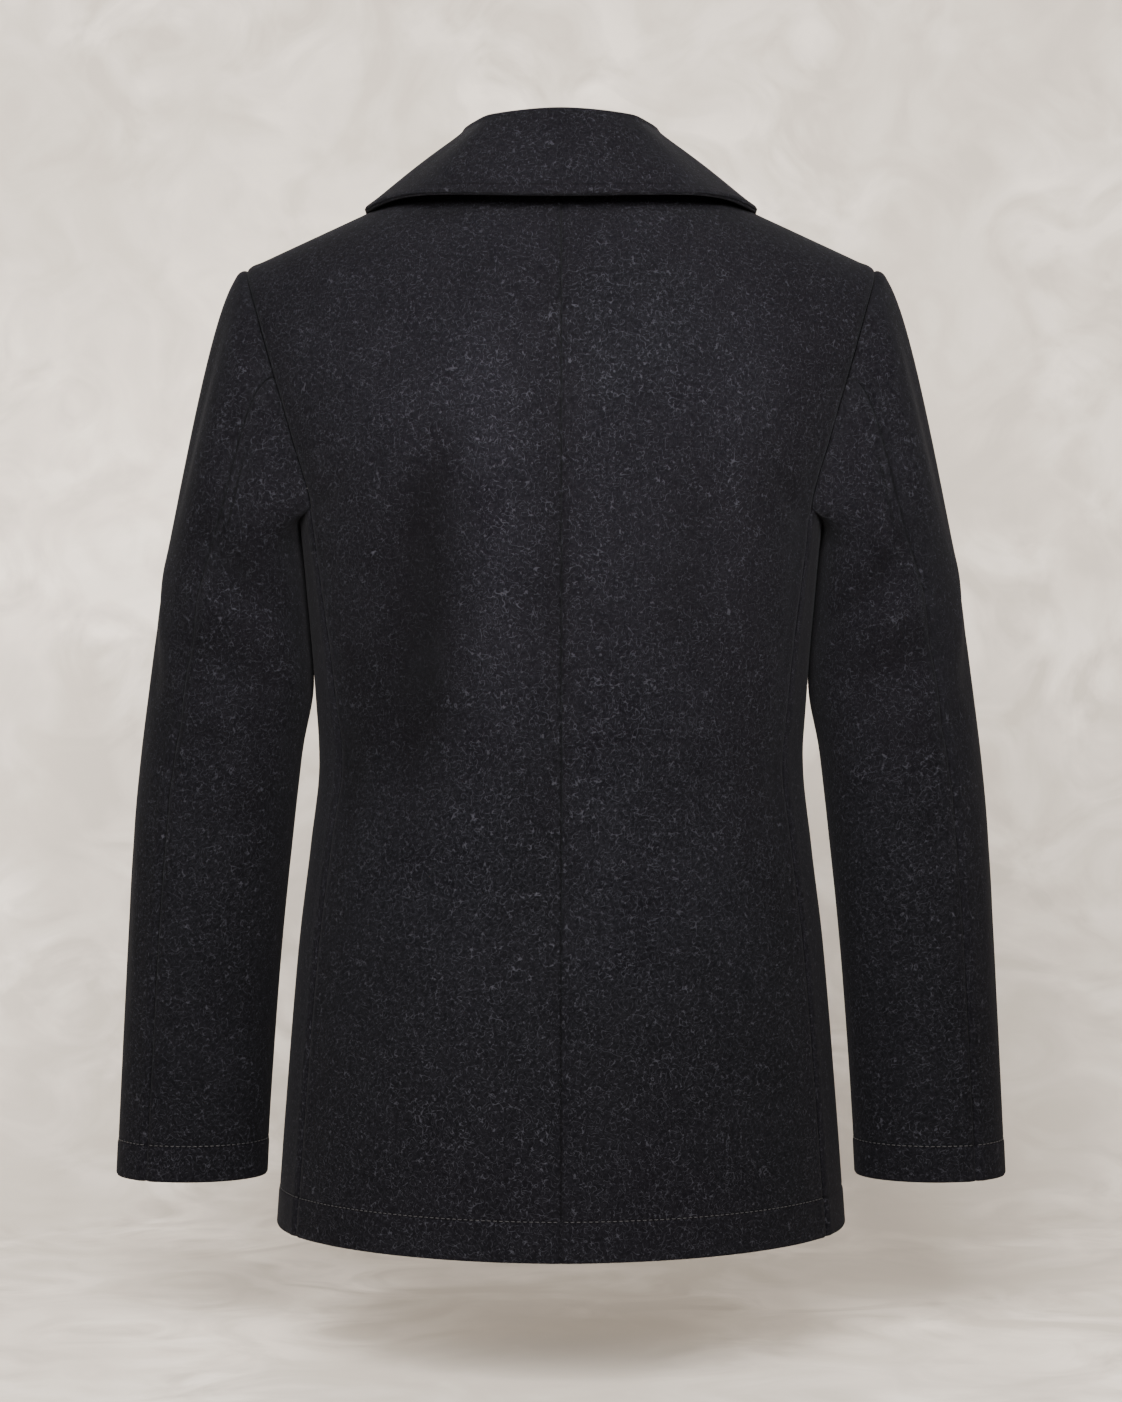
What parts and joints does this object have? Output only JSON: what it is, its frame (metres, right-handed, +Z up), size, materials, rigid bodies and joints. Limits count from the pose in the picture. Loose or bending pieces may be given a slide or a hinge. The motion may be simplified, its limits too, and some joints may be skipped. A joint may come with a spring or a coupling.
{
  "type": "pea coat",
  "caption": "Hip-length double-breasted wool pea coat, hollow as if worn: turned-down collar, wide lapels, centre back seam, long set-in sleeves and slanted welt pockets.",
  "frame": {"origin": "middle of the neck opening, level with the neck seam at the centre back, where the coat is held up", "axes": "+Z up along the body, the front faces -Y, the back faces +Y, and the wearer's left arm is at +X"},
  "size_m": [0.663, 0.3379, 0.8078],
  "materials": {
    "melton_wool": "thick fulled wool with a short curly nap, dark charcoal navy, matte",
    "button_resin": "plain dark resin with a dull polish"
  },
  "bodies": {
    "root": {"back_left": "melton_wool", "front_left": "melton_wool", "sleeve_top_left": "melton_wool", "sleeve_under_left": "melton_wool", "lapel_left": "melton_wool", "pocket_welt_left": "melton_wool", "back_right": "melton_wool", "front_right": "melton_wool", "sleeve_top_right": "melton_wool", "sleeve_under_right": "melton_wool", "lapel_right": "melton_wool", "pocket_welt_right": "melton_wool", "collar_top": "melton_wool", "collar_under": "melton_wool", "button_left_1": "button_resin", "button_left_2": "button_resin", "button_left_3": "button_resin", "button_right_1": "button_resin", "button_right_2": "button_resin", "button_right_3": "button_resin"}
  },
  "joints": []
}
